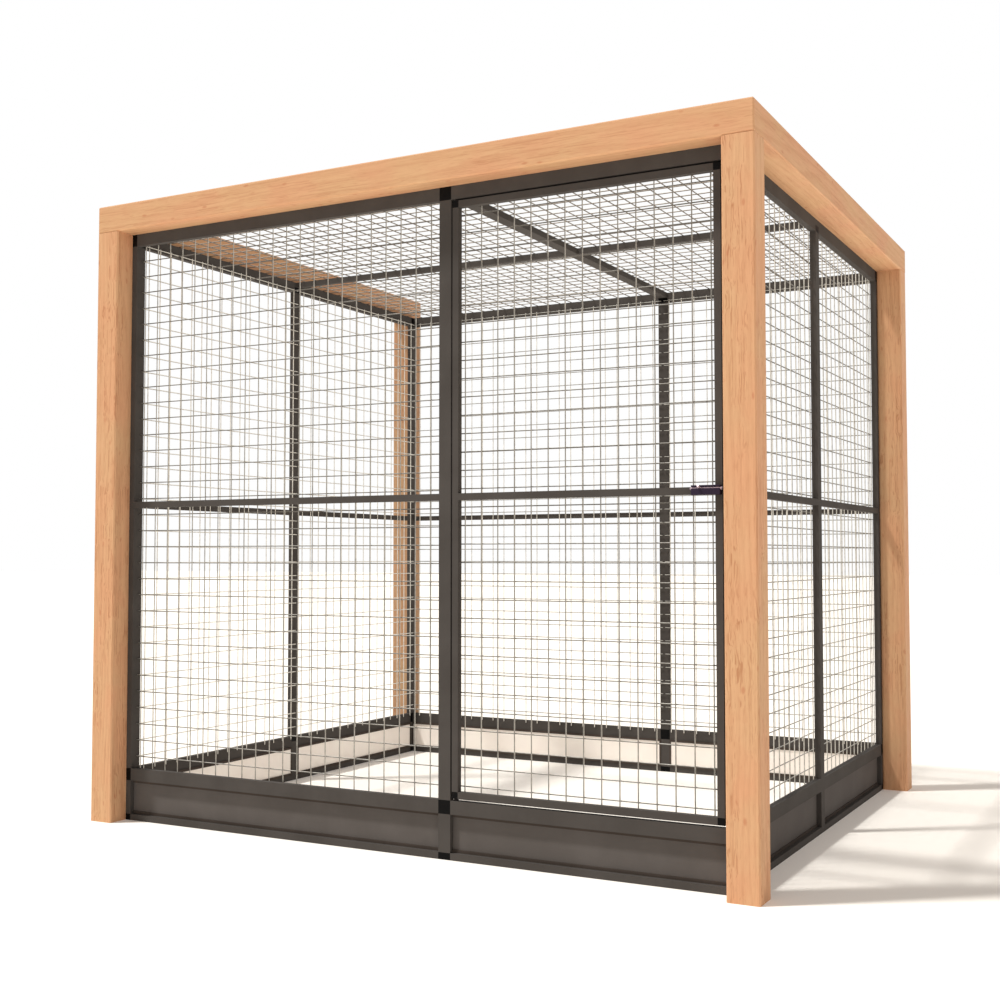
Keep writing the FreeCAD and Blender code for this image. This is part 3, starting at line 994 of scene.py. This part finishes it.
@dataclass
class PanelBeads:
    """Slim beads inside the run, over the fitting gaps at the ends of the kick panels."""

    coat: PowderCoat = EDGING_COAT
    lap: float = 0.005
    past: float = 0.002
    thick: float = 0.002
    short: float = 0.0055
    around: int = 12
    square: float = 0.5
    tip: float = 0.001

    def wall(self, side: Side) -> np.ndarray:
        """Boxes of one wall's beads, two to a panel.

        Args:
            side: Wall that the panels stand in.

        Returns:
            Low and high corner of each bead.
        """
        axis, sign = side.value
        across = 1 - axis
        panels = block_boxes("kick_panels_" + side.name.lower())
        boxes = np.repeat(panels, 2, axis=0)
        boxes[0::2, :, across] = panels[:, 0, across, None] + [-self.past, self.lap]
        boxes[1::2, :, across] = panels[:, 1, across, None] + [-self.lap, self.past]
        inner = boxes[:, 0 if sign > 0 else 1, axis].copy()
        boxes[:, :, axis] = np.sort(np.stack([inner, inner - sign * self.thick], axis=1), axis=1)
        boxes[:, :, 2] += [self.short, -self.short]
        return boxes

    def build(self) -> List[bpy.types.Object]:
        """Makes each wall's beads.

        Returns:
            The pieces, each riding on the run.
        """
        made = []
        coat = self.coat.material("bead_coat")
        for side in Side:
            points, faces = bars(self.wall(side), self.around, self.square, self.tip)
            piece = add_mesh("panel_beads_" + side.name.lower(), points, faces, (True, False))
            piece.data.materials.append(coat)
            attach(piece, "run")
            made.append(piece)
            LOG.info("panel beads %s", side.name.lower())
        return made


@dataclass
class DoorShadeStrip:
    """Black strip under the top rail at the back of the gap above the door: it stands for a door stop
    and darkens the gap as painted shade.
    """

    rubber: MouldedPlastic = MouldedPlastic(
        tone=srgb(13, 12, 12), worn=srgb(22, 21, 20), roughness=0.7,
    )
    clear: float = 0.0006
    share: float = 0.6
    square: float = 0.5
    around: int = 24
    tip: float = 0.002

    def build(self) -> bpy.types.Object:
        """Lays the strip against the rail, over the back of the gap, clear of the door.

        Returns:
            The strip, riding on the run.
        """
        rail_low, rail_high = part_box("top_rail_front")
        door_low, door_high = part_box("door_top_rail")
        latch_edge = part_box("door_latch_stile")[1][0]
        depth = (rail_high[1] - rail_low[1]) * self.share
        low = (door_low[0], rail_high[1] - depth, door_high[2] + self.clear)
        high = (latch_edge, rail_high[1], rail_low[2])
        # The strip is a dark piece that paints the shade in the gap above the door
        points, faces = bars(np.array([[low, high]]), self.around, self.square, self.tip)
        piece = add_mesh("seal_door_top", points, faces, (True, False))
        piece.data.materials.append(self.rubber.material("seal_rubber"))
        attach(piece, "run")
        LOG.info("seal above the door")
        return piece


@dataclass
class SlideBolt:
    """Slide bolt on the door: dark body, plated bolt, and blacked keeper and door pivots."""

    body: PowderCoat = PowderCoat(tone=srgb(60, 51, 67), drift=srgb(50, 42, 57), roughness=0.45)
    plated: PlatedSteel = PlatedSteel()
    blacked: PowderCoat = PowderCoat(tone=srgb(48, 43, 42), drift=srgb(38, 34, 33), roughness=0.45)

    def dress(self) -> None:
        """Gives the latch, its keeper and the door's pivots their finishes."""
        low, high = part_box("latch_bolt")
        middle, half = (low[0] + high[0]) / 2, (high[0] - low[0]) / 2
        blacked = self.blacked.material("blacked_steel")
        finishes = {
            "latch_body": self.body.material("latch_coat"),
            "latch_bolt": self.plated.material("bolt_plating", middle, half),
            "latch_keeper": blacked,
            "door_pivots": blacked,
        }
        for node, material in finishes.items():
            dress(node, material)
            LOG.info("slide bolt %s", node)


def aim(made: bpy.types.Object, way: Direction) -> None:
    """Turns a camera or a lamp to look along a direction."""
    made.rotation_mode = "QUATERNION"
    made.rotation_quaternion = Vector(way).to_track_quat("-Z", "Y")


@dataclass(frozen=True)
class Lamp:
    """One distant lamp.

    Its fields are its strength, the way its light travels, its spread in degrees, its tint, and how
    far off it hangs.
    """

    name: str
    strength: float
    way: Direction
    spread: float
    tint: Colour
    away: float = 10.0

    def hang(self) -> None:
        """Puts the lamp up."""
        data = bpy.data.lights.new(self.name, "SUN")
        data.energy = self.strength
        data.angle = math.radians(self.spread)
        data.color = self.tint
        made = bpy.data.objects.new(self.name, data)
        aim(made, self.way)
        made.location = Vector(self.way) * -self.away
        bpy.context.scene.collection.objects.link(made)


@dataclass
class Studio:
    """Camera, floor and light."""

    eye: Direction = (2.1396, -4.1963, 0.8746)
    look: Direction = (-0.47146, 0.88081, 0.04353)
    focal_px: float = 1309.74
    image_px: float = 1000.0
    centre_px: Span = (502.11, 500.22)
    sensor_mm: float = 36.0
    far_clip: float = 500.0
    floor_half: float = 60.0
    floor_drop: float = 0.0005
    floor_tone: Colour = (0.885, 0.845, 0.785)
    floor_roughness: float = 0.9
    floor_gloss: float = 0.05
    floor_glow: float = 0.11
    glow_tint: Colour = (1.0, 0.94, 0.92)
    sky: float = 0.51
    sky_tint: Colour = (1.0, 0.945, 0.89)
    lamps: Tuple[Lamp, ...] = (
        Lamp("sun", strength=3.4, way=(0.388, 0.277, -0.879), spread=5.0, tint=(1.0, 0.99, 0.965)),
        Lamp("fill_below", strength=1.6, way=(0.0, 0.0, 1.0), spread=110.0, tint=(1.0, 0.96, 0.92)),
    )

    def camera(self) -> None:
        """Puts the camera where the photograph was taken from."""
        data = bpy.data.cameras.new("camera")
        data.sensor_width = self.sensor_mm
        data.lens = self.focal_px * self.sensor_mm / self.image_px
        half = self.image_px / 2
        data.shift_x = -(self.centre_px[0] - half) / self.image_px
        data.shift_y = (self.centre_px[1] - half) / self.image_px
        data.clip_end = self.far_clip
        made = bpy.data.objects.new("camera", data)
        made.location = self.eye
        aim(made, self.look)
        bpy.context.scene.collection.objects.link(made)
        bpy.context.scene.camera = made

    def floor(self) -> None:
        """Lays a plain pale floor, just below the feet of the posts."""
        corners = np.array([[-1.0, -1.0], [1.0, -1.0], [1.0, 1.0], [-1.0, 1.0]]) * self.floor_half
        points = np.column_stack([corners, np.full(len(corners), -self.floor_drop)])
        ground = add_mesh("floor", points, [np.array([[0, 1, 2, 3]])], (False,))
        ground.data.materials.append(Surface("floor_pale").finish(
            Base_Color=self.floor_tone,
            Roughness=self.floor_roughness,
            Specular_IOR_Level=self.floor_gloss,
            Emission_Color=self.glow_tint,
            Emission_Strength=self.floor_glow,
        ))
        ground.visible_shadow = False

    def world(self) -> None:
        """Even pale sky that the camera and reflections see as plain white."""
        world = bpy.data.worlds.new("sky")
        bpy.context.scene.world = world
        world.use_nodes = True
        sheet = Sheet(world.node_tree)
        rays = ("Is Camera Ray", "Is Glossy Ray", "Is Transmission Ray")
        camera, glossy, through = sheet.beside(sheet.node("ShaderNodeLightPath"), *rays)
        seen = camera.larger(glossy).larger(through)
        lit = sheet.node("ShaderNodeBackground", None, {"Color": self.sky_tint, "Strength": self.sky})
        plain = sheet.node("ShaderNodeBackground", None, {"Color": WHITE})
        mix = sheet.node("ShaderNodeMixShader", None, {0: seen, 1: lit, 2: plain})
        sheet.end("ShaderNodeOutputWorld", mix)

    def build(self) -> None:
        """Sets the whole stage."""
        self.camera()
        self.floor()
        self.world()
        for lamp in self.lamps:
            lamp.hang()
        bpy.context.scene.view_settings.view_transform = "Standard"
        LOG.info("stage set")


def main() -> None:
    """Builds the pieces in order and reports each one."""
    Studio().build()
    Timber().dress()
    Cage().dress()
    WeldedMesh().build()
    PanelBeads().build()
    DoorShadeStrip().build()
    SlideBolt().dress()


if __name__ == "__main__":
    main()
